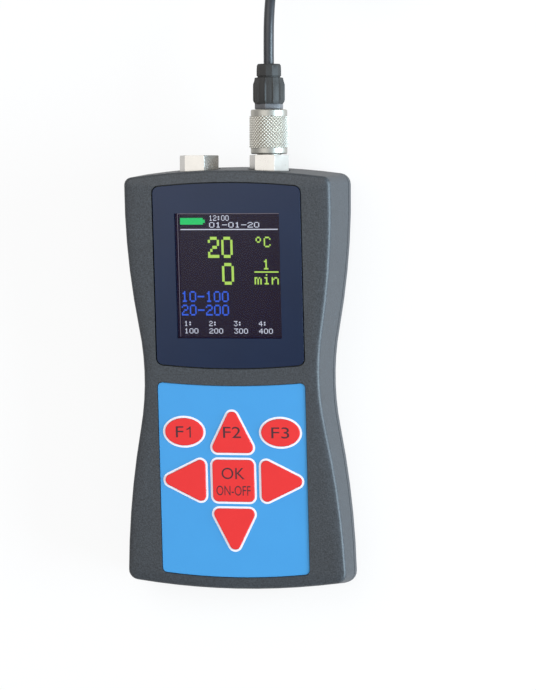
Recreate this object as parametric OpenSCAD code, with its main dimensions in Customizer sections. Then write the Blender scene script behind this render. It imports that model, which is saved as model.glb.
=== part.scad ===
// Handheld vibration meter with a colour display, a seven-key pad and two round sockets.
// It lies on its back: +Z points out of the display, +Y towards the sockets, +X to the right.

/* [Housing] */
// Length of the front face, foot to head
face_len = 123.4; // [118:0.2:130]
// Half width of the front face at the waist
waist_half_w = 26.7; // [26.3:0.1:28]
// How much further out the face reaches near the sockets, on each side
head_flare = 4.6; // [3.8:0.1:6]
// How much further out the face reaches at the foot, on each side
foot_flare = 6.7; // [5.8:0.1:8]
// Distance from the head end to the widest place of the head
head_back = 8.9; // [6:0.1:12]
// Distance from the foot to the waist
waist_at = 63.2; // [61:0.1:65]
// How far past the foot the foot curve has its widest place
foot_past = 3; // [0:0.5:6]
// Radius of the waist curve
waist_r = 79; // [70:1:90]
// Radius of the domed ends
end_r = 217; // [190:1:260]
// Radius of the corners at the head
head_corner_r = 2.3; // [1.5:0.1:3.5]
// Radius of the corners at the foot
foot_corner_r = 3; // [2:0.1:4.5]
// Thickness of the wedge at the foot
foot_t = 16.1; // [16.1:0.1:17.5]
// Thickness of the wedge at the head
head_t = 26.6; // [26.2:0.1:29]
// Height of the parting plane above the back
part_z = 7.1; // [6.6:0.1:7.4]
// Draft of the walls of the front shell, in degrees
draft = 3.15; // [2:0.05:4]
// Thickness of the side walls
wall = 1.8; // [1.5:0.1:2.1]
// Thickness of the front wall
roof = 2.2; // [2.1:0.05:2.4]
// Thickness of the back wall
back_wall = 2; // [1.9:0.05:2.3]
// Radius of the back edge
back_r = 4.3; // [3.6:0.1:4.8]
// Depth of the roll along the front edge
edge_drop = 1.3; // [0.8:0.05:1.6]
// Width of the roll along the front edge
edge_in = 1.3; // [0.8:0.05:1.6]
// How much the face falls towards its edges
crown_drop = 0.3; // [0.15:0.05:0.5]
// Width over which the face falls
crown_w = 3.6; // [2.5:0.1:3.8]
// Height of the seam between the shells
seam = 0.5; // [0.3:0.05:0.8]
// Depth of the seam's seal behind the walls
seam_in = 0.35; // [0.2:0.05:0.6]

/* [Window and display] */
// Width of the shell beside the window, at the head
window_side = 8.65; // [8.2:0.05:9.5]
// Width of the shell past the window, at the head end
window_end = 3; // [2.6:0.1:4]
// Length of the window recess
window_len = 55.1; // [54:0.1:56]
// Radius of the window's domed ends
window_arc_r = 206; // [180:1:240]
// Radius of the window's corners
window_corner_r = 2.2; // [1.5:0.1:3]
// Width of the groove round the window
window_gap = 0.35; // [0.2:0.05:0.5]
// Thickness of the window
window_t = 1; // [0.8:0.05:1.1]
// Thickness of the window's gasket
gasket_t = 0.25; // [0.15:0.05:0.3]
// Width of the window's printed border beside the lit area
border_side = 7.05; // [6.9:0.05:8]
// Width of the border above the lit area
border_head = 9.45; // [9.3:0.05:10]
// Width of the border below the lit area
border_foot = 9.35; // [9.2:0.05:10]
// Margin of the display opening round the lit area
lcd_margin = 0.9; // [0.5:0.1:1.2]
// Margin of the display glass round the lit area
glass_margin = 2.3; // [2:0.05:2.5]
// Thickness of the display glass
glass_t = 1.3; // [1.1:0.05:1.5]
// Thickness of the backlight
backlight_t = 1.7; // [1.4:0.05:1.9]
// Wall of the display frame
frame_wall = 0.9; // [0.7:0.05:1]

/* [Keypad] */
// Width of the shell beside the keypad recess, at the waist
pad_side = 4.15; // [3.9:0.05:4.6]
// Width of the shell past the keypad recess, at the foot end
pad_end = 3.35; // [3:0.05:4.2]
// Width of the shell between the keypad recess and the window
bridge = 4.8; // [4.4:0.1:5.4]
// Radius of the keypad's foot edge
pad_foot_arc_r = 188; // [170:1:230]
// Radius of the keypad's hollow head edge
pad_head_arc_r = 240; // [210:1:280]
// Radius of the keypad's corners
pad_corner_r = 1.5; // [1:0.1:2.5]
// Depth of the keypad recess
pad_deep = 0.8; // [0.7:0.05:0.9]
// Thickness of the overlay
overlay_t = 0.5; // [0.4:0.05:0.6]
// Width of the overlay beside the keys
keys_side = 1.6; // [1.4:0.05:2.4]
// Width of the overlay below the keys
keys_foot = 8.35; // [8:0.05:9]
// Width of the overlay above the keys
keys_head = 7.6; // [7:0.05:8.2]
// Space between two square keys side by side
square_space = 2; // [1.8:0.05:2.6]
// Space between two oval keys side by side
oval_space = 2.95; // [2.6:0.05:3.6]
// Height of an oval key as a share of the square key's
oval_share = 0.653; // [0.55:0.001:0.8]
// How much shorter than the pitch the triangular keys are before rounding
tri_trim = 0.3; // [0.2:0.05:0.8]
// Corner radius of the keys
key_corner_r = 1.6; // [1.3:0.1:2]
// How far the keys stand out of the overlay
key_proud = 0.35; // [0.2:0.05:0.5]
// Travel of a key
key_travel = 0.3; // [0.2:0.05:0.4]
// Thickness of the flange that holds a key in
flange_t = 0.5; // [0.4:0.05:0.6]
// Width of that flange round the key
flange_w = 0.7; // [0.5:0.05:0.75]
// Height of a snap dome
dome_h = 0.45; // [0.35:0.05:0.5]
// Radius of a snap dome
dome_r = 3; // [2.5:0.1:3.5]

/* [Boards] */
// Thickness of the keypad board
pad_board_t = 1; // [0.8:0.05:1]
// Distance from the waist's edge to the keypad board
pad_board_side = 4.9; // [4.7:0.1:5.3]
// Depth of the main board's top below the face
main_board_deep = 5.5; // [5.45:0.05:5.8]
// Thickness of the main board
main_board_t = 1.6; // [1.2:0.05:1.6]
// Distance from the waist's edge to the main board
main_board_side = 5.9; // [5.7:0.1:6.2]

/* [Sockets] */
// Distance of a socket's axis from the middle
socket_x = 10.65; // [10.4:0.05:11.5]
// Height of the sockets' axes above the back
socket_z = 16.5; // [15.8:0.1:17]
// Hexagon of a socket, across its flats
hex_flats = 10.3; // [10:0.1:10.8]
// Height of the hexagon
hex_h = 4.4; // [4:0.1:5]
// Radius of a socket's barrel
barrel_r = 4.6; // [4.5:0.05:4.7]
// Length of the barrel behind the hexagon
barrel_len = 9; // [8.4:0.1:9.2]
// Radius of a socket's bore
bore_r = 3.6; // [3.5:0.05:3.8]
// Depth of a socket's bore
bore_deep = 7.5; // [7.2:0.1:8.5]
// Radius of the contact block
block_r = 3; // [2.8:0.05:3.1]
// Radius of a contact pin
pin_r = 0.35; // [0.25:0.05:0.4]
// How far the plug's pins reach into the contact block
pin_len = 2.4; // [2:0.1:2.6]
// Thickness of a lock nut
nut_t = 2.2; // [1.8:0.1:2.4]
// Lock nut, across its flats
nut_flats = 11.6; // [11.2:0.1:12]

/* [Plug] */
// Radius of the coupling ring's two plain bands
band_r = 5.35; // [5.1:0.05:5.5]
// Length of the band next to the socket
low_band_len = 1.77; // [1.5:0.01:2.2]
// Radius over the knurl
knurl_r = 5.82; // [5.7:0.01:6]
// Length of the knurl
knurl_len = 9.2; // [8.5:0.1:10]
// Length of the band next to the neck
high_band_len = 1.97; // [1.6:0.01:2.4]
// Depth of the knurl's grooves
knurl_deep = 0.25; // [0.15:0.05:0.3]
// Radius of the ring's screw thread in the socket
screw_r = 3.52; // [3.3:0.02:3.54]
// Length of that thread
screw_len = 4.6; // [4:0.1:5]
// Radius of the plug's body inside the ring
core_r = 2.5; // [2.3:0.05:2.6]
// Radius of the grey neck
neck_r = 4.35; // [4.2:0.05:4.6]
// Length of the grey neck
neck_len = 1.6; // [1.3:0.1:2]
// Radius of the ribbed clamp collar
collar_r = 4.82; // [4.6:0.01:5]
// Length of the ribbed clamp collar
collar_len = 7.75; // [7:0.05:8.5]
// Radius of the sleeve
sleeve_r = 3.72; // [3.5:0.01:4]
// Length of the sleeve
sleeve_len = 3.9; // [3.5:0.1:4.5]

/* [Batteries] */
// Radius of a cell
cell_r = 5.25; // [5.1:0.05:5.25]
// Length of a cell, with its button
cell_len = 44.5; // [43:0.1:44.5]
// Distance between the cells' axes
cell_pitch = 11; // [10.8:0.05:11.05]
// Foot end of the cells
cell_y0 = 20; // [19.6:0.1:20.4]
// Half width of the battery door
door_half_w = 18; // [17.8:0.05:18.2]
// Head end of the battery door
door_y1 = 68; // [67.8:0.1:69]
// Width of the tongue along the door's edges
tongue_w = 1; // [0.8:0.05:1.2]

/* [Cable] */
// Diameter of the cable
cable_d = 3.1; // [2.9:0.05:3.2]
// Turns that each layer of the coil spirals
layer_turns = 2.625; // [2.625:1:3.625]
// Number of layers in the coil
coil_layers = 4; // [2:2:4]
// Distance between turns in a layer
turn_pitch = 4.2; // [4.2:0.05:4.4]
// Distance between layers
layer_pitch = 4; // [4:0.05:4.4]

/* [Hidden] */
$fn = 48;
cut = 0.5;              // overrun of every cut
snug = 0.15;            // clearance of flat pieces in their recesses
key_gap = 0.2;          // clearance round a key in the front wall
seat_gap = 0.05;        // gap under a key's flange
slide_gap = 0.1;        // clearance of sliding faces
side_gap = 0.3;         // clearance beside the battery door
fit_gap = 0.05;         // radial clearance of round fits

// Half widths and places that follow from the sizes above.
head_half_w = waist_half_w + head_flare;
foot_half_w = waist_half_w + foot_flare;
head_at = face_len - head_back;
window_half_w = head_half_w - window_side;
window_v1 = face_len - window_end;
window_v0 = window_v1 - window_len;
lcd_w = 2 * (window_half_w - border_side);
lcd_h = window_len - border_head - border_foot;
lcd_v = window_v1 - border_head - lcd_h / 2;
pad_half_w = waist_half_w - pad_side;
pad_v0 = pad_end;
pad_v1 = window_v0 - bridge;
key_pitch_x = (pad_half_w - keys_side + square_space / 2) * 2 / 3;
key_pitch_v = (pad_v1 - pad_v0 - keys_foot - keys_head + square_space) / 3;
square_w = key_pitch_x - square_space;
square_h = key_pitch_v - square_space;
oval_w = key_pitch_x - oval_space;
oval_h = oval_share * square_h;
key_mid_v = pad_v0 + keys_foot + key_pitch_v + square_h / 2;

// The outline of the front face. Each flank is a hollow waist arc between two bulging arcs
// that meet it smoothly, and the ends are shallow domes.
function flank_r(half_w, at) =
    let (d = half_w - waist_half_w, h = waist_at - at) (h * h + d * d) / (2 * d) - waist_r;
head_flank_r = flank_r(head_half_w, head_at);
foot_flank_r = flank_r(foot_half_w, -foot_past);
head_flank_c = [head_half_w - head_flank_r, head_at];
foot_flank_c = [foot_half_w - foot_flank_r, -foot_past];
waist_c = [waist_half_w + waist_r, waist_at];
head_end_c = [0, face_len - end_r];
foot_end_c = [0, end_r];

// Where a circle of radius ra round a crosses one of radius rb round b.
function meet(a, ra, b, rb, side) =
    let (d = norm(b - a), u = (b - a) / d, t = (ra * ra - rb * rb + d * d) / (2 * d))
    a + t * u + side * sqrt(ra * ra - t * t) * [-u.y, u.x];
function toward(a, b) = atan2(b.y - a.y, b.x - a.x);
function toward_left(a, b) = let (w = toward(a, b)) w < 0 ? w + 360 : w;
least_corner_r = 0.6;
function corner(flank_c, r, end_c, corner_r, grow, side) =
    meet(flank_c, r + grow - corner_r, end_c, end_r + grow - corner_r, side);

// The right flank of the outline offset outwards by grow, foot to head: each arc as its centre,
// radius, how the radius follows a further offset, first and last angle, and steps.
function arcs(grow) =
    let (
        head_r = max(head_corner_r + grow, least_corner_r),
        foot_r = max(foot_corner_r + grow, least_corner_r),
        head_c = corner(head_flank_c, head_flank_r, head_end_c, head_r, grow, 1),
        foot_c = corner(foot_flank_c, foot_flank_r, foot_end_c, foot_r, grow, -1)
    )
    [
        [foot_end_c, end_r + grow, 1, -90, toward(foot_end_c, foot_c), 5],
        [foot_c, foot_r, 1, toward(foot_end_c, foot_c), toward(foot_flank_c, foot_c), 5],
        [foot_flank_c, foot_flank_r + grow, 1,
            toward(foot_flank_c, foot_c), toward(foot_flank_c, waist_c), 5],
        [waist_c, waist_r - grow, -1,
            toward_left(waist_c, foot_flank_c), toward_left(waist_c, head_flank_c), 7],
        [head_flank_c, head_flank_r + grow, 1,
            toward(head_flank_c, waist_c), toward(head_flank_c, head_c), 5],
        [head_c, head_r, 1, toward(head_flank_c, head_c), toward(head_end_c, head_c), 5],
        [head_end_c, end_r + grow, 1, toward(head_end_c, head_c), 90, 5]
    ];
// Its stations as [centre, radius, offset sign, angle], the last one in the middle of the head.
function stations(grow) = [
    for (a = arcs(grow)) for (i = [0 : a[5] - 1]) [a[0], a[1], a[2], a[3] + (a[4] - a[3]) * i / a[5]],
    [head_end_c, end_r + grow, 1, 90]
];
function at_station(s, grow) = s[0] + (s[1] + s[2] * grow) * [cos(s[3]), sin(s[3])];

// The wedge: height of the face, and how far the drafted walls stand out at the parting plane.
slope = (head_t - foot_t) / face_len;
tilt = atan(slope);
function face_z(y) = foot_t + slope * y;
function wall_out(y) = (face_z(y) - part_z) * tan(draft);

// A ring of points: the outline grown by base + wall_out * follow, at the height
// flat + (face height - drop) * up.
function ring(base, follow, flat, up, drop) =
    let (
        right = [for (s = stations(base)) at_station(s, follow * wall_out(at_station(s, 0).y))],
        outline = concat(right, [for (i = [len(right) - 2 : -1 : 1]) [-right[i].x, right[i].y]])
    )
    [for (p = outline) [p.x, p.y, flat + up * (face_z(p.y) - drop)]];
module loft(rings) {
    n = len(rings[0]);
    top = len(rings) - 1;
    polyhedron(
        points = [for (r = rings) each r],
        faces = [
            [for (i = [0 : n - 1]) i],
            for (k = [0 : top - 1]) for (i = [0 : n - 1])
                let (j = (i + 1) % n)
                each [[k * n + i, (k + 1) * n + i, (k + 1) * n + j], [k * n + i, (k + 1) * n + j, k * n + j]],
            [for (i = [n - 1 : -1 : 0]) top * n + i]
        ]
    );
}
edge_steps = 3;
module front_solid() loft([
    ring(0, 1, part_z + seam / 2, 0, 0),
    for (k = [0 : edge_steps])
        let (a = 90 * k / edge_steps)
        ring(-edge_in * (1 - cos(a)), 0, 0, 1, crown_drop + edge_drop * (1 - sin(a))),
    ring(-crown_w, 0, 0, 1, 0)
]);
module front_hollow() loft([
    ring(-wall, 1, part_z - cut, 0, 0),
    ring(-wall, 0, 0, 1, roof_z)
]);
module back_solid() loft([
    for (k = [0 : edge_steps])
        let (a = 90 - 90 * k / edge_steps)
        ring(-back_r * (1 - cos(a)), 1, back_r * (1 - sin(a)), 0, 0),
    ring(0, 1, part_z - seam / 2, 0, 0)
]);
module back_hollow() loft([
    ring(-back_r, 1, back_wall, 0, 0),
    ring(-wall, 1, back_r, 0, 0),
    ring(-wall, 1, part_z + cut, 0, 0)
]);
roof_z = roof / cos(tilt);

// Everything is placed so that the origin is under the middle of the meter.
foot_y = -(foot_t - part_z) * tan(draft);
socket_face = face_len + (face_z(face_len) - socket_z) * tan(draft) - socket_x * socket_x / end_r;
mouth_y = socket_face + hex_h;
mid_y = (foot_y + mouth_y) / 2;
module place() translate([0, -mid_y, 0]) children();
// The face's own frame: x, distance v along the face, height w out of it.
module on_face() place() translate([0, 0, foot_t]) rotate([tilt, 0, 0]) children();
module slab(low, high) translate([0, 0, low]) linear_extrude(high - low) children();
function place_y(v) = v * cos(tilt);

// Flat outlines on the face.
function arc_points(c, r, a0, a1, n) =
    [for (i = [0 : n]) let (a = a0 + (a1 - a0) * i / n) c + r * [cos(a), sin(a)]];
// A panel with curved ends: a positive radius bulges outwards and a negative one is hollow.
function panel(half_w, v0, v1, foot_r, head_r, corner_r) =
    let (
        x = half_w - corner_r,
        a0 = atan(x / foot_r), a1 = atan(x / head_r),
        y0 = v0 + x * x / (2 * foot_r) + corner_r * cos(a0),
        y1 = v1 - x * x / (2 * head_r) - corner_r * cos(a1),
        steps = 6,
        right = [
            for (i = [0 : steps - 1]) [x * i / steps, v0 + pow(x * i / steps, 2) / (2 * foot_r)],
            each arc_points([x, y0], corner_r, a0 - 90, 0, 4),
            each arc_points([x, y1], corner_r, 0, 90 - a1, 4),
            for (i = [steps - 1 : -1 : 0]) [x * i / steps, v1 - pow(x * i / steps, 2) / (2 * head_r)]
        ]
    )
    concat(right, [for (i = [len(right) - 2 : -1 : 1]) [-right[i].x, right[i].y]]);
module window_outline(grow) polygon(panel(
    window_half_w + grow, window_v0 - grow, window_v1 + grow,
    window_arc_r, window_arc_r, window_corner_r + grow
));
module pad_outline(grow) polygon(panel(
    pad_half_w + grow, pad_v0 - grow, pad_v1 + grow,
    pad_foot_arc_r, -pad_head_arc_r, pad_corner_r + grow
));
// A polygon with every corner rounded; its corners run counterclockwise.
function rounded(points, r, grow) = [
    for (i = [0 : len(points) - 1])
        let (
            n = len(points), p = points[i], a = points[(i + n - 1) % n], b = points[(i + 1) % n],
            ua = (a - p) / norm(a - p), ub = (b - p) / norm(b - p),
            half = acos(ua * ub) / 2, c = p + (ua + ub) / norm(ua + ub) * r / sin(half),
            a0 = atan2(ua.x, -ua.y), a1 = a0 + 180 - 2 * half
        )
        each arc_points(c, r + grow, a0, a1, 5)
];
function box(w, h) = [[-w / 2, -h / 2], [w / 2, -h / 2], [w / 2, h / 2], [-w / 2, h / 2]];
// A triangle whose rounded form is centred on the key's place.
function tri(base, height) =
    let (lift = key_corner_r * (1 / sin(atan(base / 2 / height)) - 1) / 2)
    [[-base / 2, lift - height / 2], [base / 2, lift - height / 2], [0, lift + height / 2]];
module key_outline(kind, grow) {
    if (kind == "oval") {
        polygon([for (a = [0 : 10 : 350]) [(oval_w / 2 + grow) * cos(a), (oval_h / 2 + grow) * sin(a)]]);
    } else if (kind == "square") {
        polygon(rounded(box(square_w, square_h), key_corner_r, grow));
    } else if (kind == "up" || kind == "down") {
        rotate(kind == "up" ? 0 : 180)
            polygon(rounded(tri(key_pitch_x - tri_trim, key_pitch_v - tri_trim), key_corner_r, grow));
    } else {
        rotate(kind == "left" ? 90 : -90)
            polygon(rounded(tri(key_pitch_v - tri_trim, key_pitch_x - tri_trim), key_corner_r, grow));
    }
}
// Name, outline and place of each key.
keys = [
    ["f1", "oval", [-key_pitch_x, key_mid_v + key_pitch_v]], ["up", "up", [0, key_mid_v + key_pitch_v]],
    ["f3", "oval", [key_pitch_x, key_mid_v + key_pitch_v]], ["left", "left", [-key_pitch_x, key_mid_v]],
    ["ok", "square", [0, key_mid_v]], ["right", "right", [key_pitch_x, key_mid_v]],
    ["down", "down", [0, key_mid_v - key_pitch_v]]
];
module key_shapes(grow) for (k = keys) translate(k[2]) key_outline(k[1], grow);

// Depths below the face, worked out from one another.
window_deep = window_t + gasket_t;
overlay_top = overlay_t - pad_deep;
flange_top = -roof - seat_gap;
flange_low = flange_top - flange_t;
dome_top = flange_low - key_travel - slide_gap;
pad_board_top = dome_top - dome_h;
pad_board_low = pad_board_top - pad_board_t;
main_board_low = -main_board_deep - main_board_t;
backlight_low = -main_board_deep;
backlight_top = backlight_low + backlight_t;
glass_top = backlight_top + glass_t;

// Screws and the bosses that hold them.
screw_shank_r = 1.1;
screw_head_r = 2.2;
screw_head_h = 1.5;
boss_r = 3.1;
boss_gap = 0.2;
screw_reach = 6;
head_boss_in = [6.8, 10.5];     // from the widest place and the end of the face
foot_boss_in = [6.2, 9.5];
head_boss = [head_half_w, face_len] - head_boss_in;
foot_boss = [foot_half_w - foot_boss_in.x, foot_boss_in.y];
function pair(p) = [[-p.x, p.y], p];
screw_spots = concat(pair(head_boss), pair(foot_boss));
screw_top = part_z + screw_reach;
screw_sunk = 0.6;
boss_root = 0.6 * back_wall;

small_r = 0.8;
small_head_r = 1.8;
small_head_h = 0.9;
post_r = 2.3;
pad_board_half_w = waist_half_w - pad_board_side;
pad_board_in = 3.65;            // from the ends of the recess to the keypad board's ends
pad_board_out = 0.9;
pad_board_v0 = pad_v0 + pad_board_in;
pad_board_v1 = pad_v1 + pad_board_out;
pad_post_in = [2.8, 4.5];       // from a corner of the board
pad_post_x = pad_board_half_w - pad_post_in.x;
pad_posts = concat(
    pair([pad_post_x, pad_board_v0 + pad_post_in.y]), pair([pad_post_x, pad_board_v1 - pad_post_in.y])
);
main_board_half_w = waist_half_w - main_board_side;
board_end = 9.2;                // from the end of the face to the main board
board_v0 = pad_board_v1 + snug;
board_v1 = face_len - board_end;
ear_in = 7.9;                   // from the widest place to the ears that hold the board
ear_past = 3.2;                 // from the middle of the display
ear = [head_half_w - ear_in, lcd_v + ear_past];
ear_r = 2.6;
low_post_in = [5.3, 5.85];      // from a corner of the board
low_post = [main_board_half_w - low_post_in.x, board_v0 + low_post_in.y];
main_posts = concat(pair(low_post), pair(ear));
module posts(spots, low) for (p = spots) translate(p) difference() {
    slab(low, -roof + slide_gap) circle(post_r);
    slab(low - cut, -roof + cut) circle(small_r + fit_gap);
}

// The battery bay in the back.
lip_t = 1.1;
tongue_t = 0.8;
door_lift = 0.3;
groove_top = lip_t + slide_gap + tongue_t + slide_gap;
bay_floor_t = 1.2;
bay_top = groove_top + bay_floor_t;
bay_ledge = 1.2;
bay_half_w = door_half_w - bay_ledge;
plate_t = 0.4;
spring_len = 1.6;
tray_wall = 1;
bay_y0 = cell_y0 - spring_len;
bay_y1 = cell_y0 + cell_len + plate_t;
bay_rim = 2.6;
cell_lift = 0.25;
cell_z = groove_top + cell_lift + cell_r;
tray_top = cell_z + cell_r - side_gap;

// Sockets.
hex_r = hex_flats / 2 / cos(30);
nut_r = nut_flats / 2 / cos(30);
hex_chamfer = 0.2;
spot_deep = 0.3;
spot_gap = 0.4;
spot_r = hex_r + spot_gap;
pad_in = 0.6;
inner_face = socket_face - wall - pad_in;
pin_circle_r = 1.4;
module socket_axis(x) place() translate([x, mouth_y, socket_z]) rotate([-90, 0, 0]) children();

module front_shell() color("#46494d") {
    difference() {
        union() {
            difference() {
                place() front_solid();
                place() front_hollow();
            }
            on_face() posts(pad_posts, pad_board_top);
            on_face() posts(main_posts, -main_board_deep);
            for (x = [-socket_x, socket_x]) socket_axis(x) translate([0, 0, inner_face - mouth_y])
                cylinder(h = wall - spot_deep, r = nut_r + spot_gap);
            place() for (p = screw_spots) translate([p.x, p.y, part_z + boss_gap])
                cylinder(h = face_z(p.y) - roof_z - part_z - boss_gap + slide_gap, r = boss_r);
        }
        on_face() {
            slab(-window_deep, cut) window_outline(0);
            slab(-roof - cut, cut) translate([0, lcd_v])
                square([lcd_w + 2 * lcd_margin, lcd_h + 2 * lcd_margin], center = true);
            slab(-pad_deep, cut) pad_outline(0);
            slab(-roof - cut, cut) key_shapes(key_gap);
        }
        for (x = [-socket_x, socket_x]) socket_axis(x) {
            translate([0, 0, -hex_h - spot_deep]) cylinder(h = hex_h, r = spot_r);
            translate([0, 0, -hex_h - 3 * wall]) cylinder(h = 4 * wall, r = barrel_r + slide_gap);
        }
        place() for (p = screw_spots) translate([p.x, p.y, 0])
            cylinder(h = screw_top + boss_gap, r = screw_shank_r + fit_gap);
    }
}
module back_shell() color("#4a4d51") place() {
    difference() {
        union() {
            difference() {
                back_solid();
                back_hollow();
            }
            intersection() {
                back_solid();
                translate([-door_half_w - bay_rim, foot_y - cut, 0])
                    cube([2 * (door_half_w + bay_rim), door_y1 + bay_rim - foot_y + cut, bay_top]);
            }
            for (p = screw_spots) translate([p.x, p.y, boss_root])
                cylinder(h = part_z - boss_root, r = boss_r);
        }
        translate([-door_half_w - side_gap, -back_r - cut, -cut])
            cube([2 * (door_half_w + side_gap), door_y1 + side_gap + back_r + cut, lip_t + cut]);
        translate([-door_half_w - tongue_w - side_gap, -back_r - cut, lip_t - slide_gap])
            cube([
                2 * (door_half_w + tongue_w + side_gap), door_y1 + tongue_w + side_gap + back_r + cut,
                groove_top - lip_t + slide_gap
            ]);
        translate([-bay_half_w, bay_y0, 0]) cube([2 * bay_half_w, bay_y1 - bay_y0, bay_top + cut]);
        for (p = screw_spots) translate([p.x, p.y, 0]) {
            translate([0, 0, -cut]) cylinder(h = part_z + 2 * cut, r = screw_shank_r + slide_gap);
            translate([0, 0, -cut])
                cylinder(h = cut + screw_sunk + screw_head_h, r = screw_head_r + slide_gap);
        }
    }
}
module shell_seal() color("#111214") place() difference() {
    loft([ring(-seam_in, 1, part_z - seam / 2, 0, 0), ring(-seam_in, 1, part_z + seam / 2, 0, 0)]);
    loft([ring(-wall, 1, part_z - seam, 0, 0), ring(-wall, 1, part_z + seam, 0, 0)]);
}
module battery_door() color("#44474b") place() intersection() {
    union() {
        translate([-door_half_w, -back_r, door_lift])
            cube([2 * door_half_w, door_y1 + back_r, lip_t + slide_gap - door_lift]);
        translate([-door_half_w - tongue_w, -back_r, lip_t])
            cube([2 * (door_half_w + tongue_w), door_y1 + tongue_w + back_r, tongue_t]);
    }
    back_solid();
}
module housing_screws() color("#5a5c60") place() for (p = screw_spots) translate([p.x, p.y, screw_sunk]) {
    cylinder(h = screw_head_h, r = screw_head_r);
    cylinder(h = screw_top - screw_sunk, r = screw_shank_r);
}
module display_window() color("#323a48") on_face() slab(-window_t, 0) window_outline(-window_gap);
module window_gasket() color("#0c0d0f") on_face() slab(-window_deep, -window_t) difference() {
    window_outline(-window_gap - snug);
    translate([0, lcd_v]) square([lcd_w + 4 * lcd_margin, lcd_h + 4 * lcd_margin], center = true);
}
glass_w = lcd_w + 2 * glass_margin;
glass_h = lcd_h + 2 * glass_margin;
module display_frame() color("#1c1e21") on_face()
    slab(-main_board_deep, glass_top + slide_gap) translate([0, lcd_v]) difference() {
        square([glass_w + 2 * (snug + frame_wall), glass_h + 2 * (snug + frame_wall)], center = true);
        square([glass_w + 2 * snug, glass_h + 2 * snug], center = true);
    }
module display_panel() color("#2b1f2a") on_face() slab(backlight_top, glass_top) translate([0, lcd_v])
    square([glass_w, glass_h], center = true);
module display_backlight() color("#e8e8e8") on_face() slab(backlight_low, backlight_top) translate([0, lcd_v])
    square([glass_w, glass_h], center = true);
module keypad_overlay() color("#4fa3e6") on_face() slab(-pad_deep, overlay_top) difference() {
    pad_outline(-snug);
    key_shapes(key_gap);
}
module key_piece(i) color("#e8303a") on_face() translate(keys[i][2]) {
    slab(flange_low, flange_top) intersection() {
        key_outline(keys[i][1], flange_w);
        square([key_pitch_x - side_gap, key_pitch_v - side_gap], center = true);
    }
    slab(flange_top, overlay_top + key_proud) key_outline(keys[i][1], 0);
}
module snap_domes() color("#b9bcc0") on_face() for (k = keys)
    translate([k[2].x, k[2].y, pad_board_top]) cylinder(h = dome_h, r1 = dome_r, r2 = dome_r / 2);
module keypad_board() color("#1f6b3a") on_face() difference() {
    slab(pad_board_low, pad_board_top) translate([-pad_board_half_w, pad_board_v0])
        square([2 * pad_board_half_w, pad_board_v1 - pad_board_v0]);
    for (p = pad_posts) translate(p)
        slab(pad_board_low - cut, pad_board_top + cut) circle(small_r + slide_gap);
}
link_half_w = 9;
link_len = 3.8;
link_in = 0.8;                  // from the end of the keypad board
link_v1 = pad_board_v1 - link_in;
link_v0 = link_v1 - link_len;
module main_board() color("#1f6b3a") on_face() difference() {
    slab(main_board_low, -main_board_deep) {
        translate([-main_board_half_w, board_v0]) square([2 * main_board_half_w, board_v1 - board_v0]);
        translate([-link_half_w - snug, link_v0 - snug])
            square([2 * (link_half_w + snug), board_v1 - link_v0]);
        translate([-ear.x, ear.y - ear_r]) square([2 * ear.x, 2 * ear_r]);
        for (p = pair(ear)) translate(p) circle(ear_r);
    }
    for (p = main_posts) translate(p)
        slab(main_board_low - cut, -main_board_deep + cut) circle(small_r + slide_gap);
}
module board_link() color("#d9d4c4") on_face() slab(-main_board_deep, pad_board_low)
    translate([-link_half_w, link_v0]) square([2 * link_half_w, link_v1 - link_v0]);
// Chips under the main board: place as shares of its half width and length, and size.
chip_h = 1.2;
big_chip = [10, 10];
small_chip = [7, 7];
long_chip = [12, 8];
power_chip = [5, 4];
chip_shares = [[-0.43, 0.43], [0.38, 0.5], [0, 0.77], [0.53, 0.22]];
chips = [big_chip, small_chip, long_chip, power_chip];
module board_chips() color("#16171a") on_face() for (i = [0 : len(chips) - 1])
    translate([chip_shares[i].x * main_board_half_w, board_v0 + chip_shares[i].y * (board_v1 - board_v0)])
        slab(main_board_low - chip_h, main_board_low) square(chips[i], center = true);
module small_screw(low, top) {
    slab(low - small_head_h, low) circle(small_head_r);
    slab(low, top) circle(small_r);
}
module board_screws() color("#c4c7ca") on_face() {
    for (p = pad_posts) translate(p) small_screw(pad_board_low, -roof);
    for (p = main_posts) translate(p) small_screw(main_board_low, -roof);
}
module socket(x) color("#c9c5bd") socket_axis(x) difference() {
    union() {
        intersection() {
            translate([0, 0, -hex_h - spot_deep])
                cylinder(h = hex_h + spot_deep, r = hex_r, $fn = 6);
            rotate_extrude() polygon([
                [0, -hex_h - spot_deep], [hex_r, -hex_h - spot_deep], [hex_r, -hex_chamfer],
                [hex_r - hex_chamfer, 0], [0, 0]
            ]);
        }
        translate([0, 0, -hex_h - barrel_len]) cylinder(h = barrel_len, r = barrel_r);
    }
    translate([0, 0, -bore_deep]) cylinder(h = bore_deep + cut, r = bore_r);
    translate([0, 0, -hex_h - barrel_len - cut]) cylinder(h = barrel_len + hex_h, r = block_r + fit_gap);
}
block_len = barrel_len + hex_h - bore_deep;
module pins_at(low, high, r) for (a = [45 : 90 : 315])
    rotate(a) translate([pin_circle_r, 0, low]) cylinder(h = high - low, r = r);
module contact_block(x) color("#202226") socket_axis(x) difference() {
    translate([0, 0, -bore_deep - block_len]) cylinder(h = block_len, r = block_r);
    pins_at(-bore_deep - block_len - cut, -bore_deep + cut, pin_r + fit_gap);
}
pin_tail = 1;
pin_clear = 0.3;                // between the ends of mated pins
module contact_pins() color("#d8b24a") for (x = [-socket_x, socket_x]) socket_axis(x)
    pins_at(-bore_deep - block_len - pin_tail, -bore_deep - pin_len - pin_clear, pin_r);
module service_socket() socket(-socket_x);
module sensor_socket() socket(socket_x);
module service_block() contact_block(-socket_x);
module sensor_block() contact_block(socket_x);
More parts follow.
